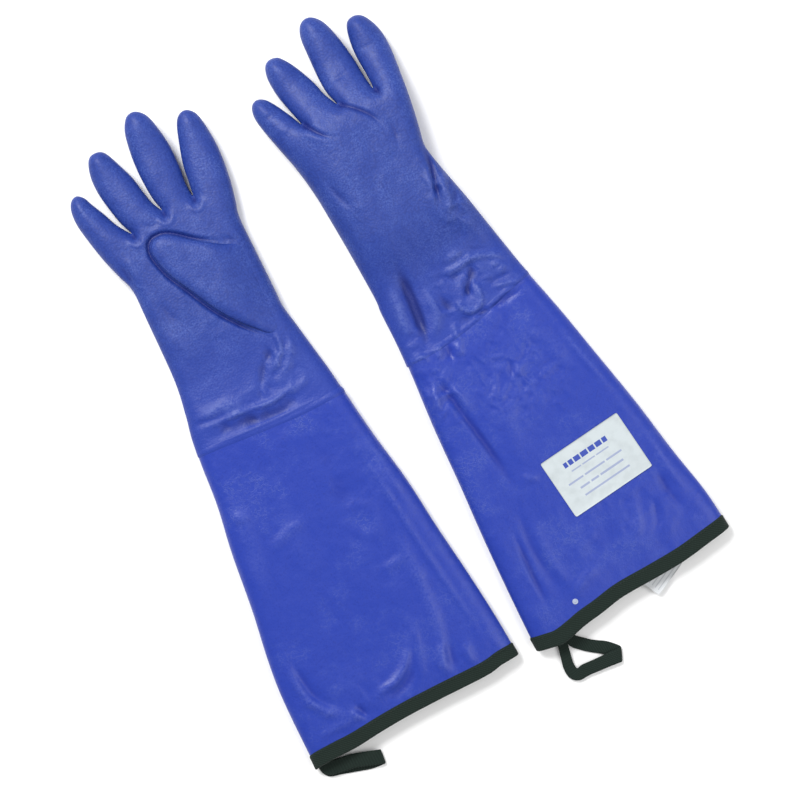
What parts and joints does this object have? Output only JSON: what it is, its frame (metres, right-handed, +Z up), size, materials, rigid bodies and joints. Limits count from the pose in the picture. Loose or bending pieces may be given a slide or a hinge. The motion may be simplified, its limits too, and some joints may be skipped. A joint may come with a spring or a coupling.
{
  "type": "cryogenic gloves",
  "caption": "Pair of long insulated gloves with wide coated sleeves, bound cuffs and hanging loops, lying flat side by side.",
  "frame": {"origin": "middle of the pair's bounding box, on the table they lie on", "axes": "+Z up, +Y from the cuffs towards the fingertips of the right glove, +X from the right glove to the left glove"},
  "size_m": [0.4523, 0.6696, 0.0462],
  "materials": {
    "dipped_shell": "matte, finely pebbled",
    "coated_sleeve": "satin coated cloth",
    "barrier_film": "translucent film",
    "insulation": "brushed fleece",
    "lining": "quilted",
    "dark_tape": "woven",
    "label": "printed satin",
    "care_tag": "printed satin",
    "stud": "smooth"
  },
  "bodies": {
    "right_forearm": {"right_sleeve_shell": "coated_sleeve", "right_sleeve_lining": "lining", "right_seam_band": "coated_sleeve", "right_gauntlet_shell": "dipped_shell", "right_gauntlet_liner": "insulation"},
    "right_cuff": {"right_cuff_shell": "coated_sleeve", "right_cuff_lining": "lining", "right_cuff_binding": "dark_tape"},
    "right_loop": {"right_hanging_loop": "dark_tape", "right_loop_tack": "dark_tape"},
    "right_hand": {"right_hand_shell": "dipped_shell", "right_hand_barrier": "barrier_film", "right_hand_liner": "insulation"},
    "right_thumb": {"right_thumb_shell": "dipped_shell", "right_thumb_barrier": "barrier_film", "right_thumb_liner": "insulation"},
    "right_index": {"right_index_shell": "dipped_shell", "right_index_barrier": "barrier_film", "right_index_liner": "insulation"},
    "right_middle": {"right_middle_shell": "dipped_shell", "right_middle_barrier": "barrier_film", "right_middle_liner": "insulation"},
    "right_ring": {"right_ring_shell": "dipped_shell", "right_ring_barrier": "barrier_film", "right_ring_liner": "insulation"},
    "right_little": {"right_little_shell": "dipped_shell", "right_little_barrier": "barrier_film", "right_little_liner": "insulation"},
    "left_forearm": {"left_sleeve_shell": "coated_sleeve", "left_sleeve_lining": "lining", "left_seam_band": "coated_sleeve", "left_gauntlet_shell": "dipped_shell", "left_gauntlet_liner": "insulation"},
    "left_cuff": {"left_cuff_shell": "coated_sleeve", "left_cuff_lining": "lining", "left_cuff_binding": "dark_tape", "left_label": "label", "left_stud": "stud"},
    "left_loop": {"left_hanging_loop": "dark_tape", "left_loop_tack": "dark_tape"},
    "left_hand": {"left_hand_shell": "dipped_shell", "left_hand_barrier": "barrier_film", "left_hand_liner": "insulation"},
    "left_thumb": {"left_thumb_shell": "dipped_shell", "left_thumb_barrier": "barrier_film", "left_thumb_liner": "insulation"},
    "left_index": {"left_index_shell": "dipped_shell", "left_index_barrier": "barrier_film", "left_index_liner": "insulation"},
    "left_middle": {"left_middle_shell": "dipped_shell", "left_middle_barrier": "barrier_film", "left_middle_liner": "insulation"},
    "left_ring": {"left_ring_shell": "dipped_shell", "left_ring_barrier": "barrier_film", "left_ring_liner": "insulation"},
    "left_little": {"left_little_shell": "dipped_shell", "left_little_barrier": "barrier_film", "left_little_liner": "insulation"},
    "left_tag": {"left_care_tag": "care_tag"}
  },
  "joints": [
    {"name": "left_glove_slide", "type": "slide", "parent": "right_forearm", "child": "left_forearm", "axis": [1, 0, 0], "range_m": [0, 0.3]},
    {"name": "right_cuff_fold", "type": "hinge", "parent": "right_forearm", "child": "right_cuff", "pos_m": [-0.1214, -0.1275, 0.0238], "axis": [-1, 0, 0], "range_deg": [0, 165]},
    {"name": "right_wrist_bend", "type": "hinge", "parent": "right_forearm", "child": "right_hand", "pos_m": [-0.1309, 0.0695, 0.0145], "axis": [1, 0, 0], "range_deg": [-40, 40]},
    {"name": "right_thumb_swing", "type": "hinge", "parent": "right_hand", "child": "right_thumb", "pos_m": [-0.0819, 0.1315, 0.02845], "axis": [0, 1, 0], "range_deg": [0, 90]},
    {"name": "right_index_curl", "type": "hinge", "parent": "right_hand", "child": "right_index", "pos_m": [-0.0849, 0.2345, 0.0164], "axis": [1, 0, 0], "range_deg": [0, 85]},
    {"name": "right_middle_curl", "type": "hinge", "parent": "right_hand", "child": "right_middle", "pos_m": [-0.1224, 0.2375, 0.0164], "axis": [1, 0, 0], "range_deg": [0, 85]},
    {"name": "right_ring_curl", "type": "hinge", "parent": "right_hand", "child": "right_ring", "pos_m": [-0.1579, 0.2335, 0.0156], "axis": [1, 0, 0], "range_deg": [0, 85]},
    {"name": "right_little_curl", "type": "hinge", "parent": "right_hand", "child": "right_little", "pos_m": [-0.1899, 0.2245, 0.0134], "axis": [1, 0, 0], "range_deg": [0, 85]},
    {"name": "right_loop_swing", "type": "hinge", "parent": "right_cuff", "child": "right_loop", "pos_m": [-0.2119, -0.3079, 0.009], "axis": [-1, 0, 0], "range_deg": [0, 80]},
    {"name": "left_cuff_fold", "type": "hinge", "parent": "left_forearm", "child": "left_cuff", "pos_m": [0.09624, -0.10569, 0.0238], "axis": [-0.9962, -0.0872, 0], "range_deg": [0, 165]},
    {"name": "left_wrist_bend", "type": "hinge", "parent": "left_forearm", "child": "left_hand", "pos_m": [0.06961, 0.08973, 0.0295], "axis": [-0.9962, -0.0872, 0], "range_deg": [-40, 40]},
    {"name": "left_thumb_swing", "type": "hinge", "parent": "left_hand", "child": "left_thumb", "pos_m": [0.11302, 0.15576, 0.0177], "axis": [0.0872, -0.9962, 0], "range_deg": [0, 90]},
    {"name": "left_index_curl", "type": "hinge", "parent": "left_hand", "child": "left_index", "pos_m": [0.10275, 0.25023, 0.0287], "axis": [-0.9962, -0.0872, 0], "range_deg": [0, 65]},
    {"name": "left_middle_curl", "type": "hinge", "parent": "left_hand", "child": "left_middle", "pos_m": [0.06712, 0.25012, 0.0287], "axis": [-0.9962, -0.0872, 0], "range_deg": [0, 65]},
    {"name": "left_ring_curl", "type": "hinge", "parent": "left_hand", "child": "left_ring", "pos_m": [0.0326, 0.24309, 0.0279], "axis": [-0.9962, -0.0872, 0], "range_deg": [0, 65]},
    {"name": "left_little_curl", "type": "hinge", "parent": "left_hand", "child": "left_little", "pos_m": [0.00192, 0.23237, 0.0257], "axis": [-0.9962, -0.0872, 0], "range_deg": [0, 65]},
    {"name": "left_loop_swing", "type": "hinge", "parent": "left_cuff", "child": "left_loop", "pos_m": [0.04117, -0.28513, 0.003], "axis": [-0.9962, -0.0872, 0], "range_deg": [0, 60]},
    {"name": "left_tag_flip", "type": "hinge", "parent": "left_cuff", "child": "left_tag", "pos_m": [0.14112, -0.24572, 0.0077], "axis": [-0.9962, -0.0872, 0], "range_deg": [0, 12]}
  ]
}
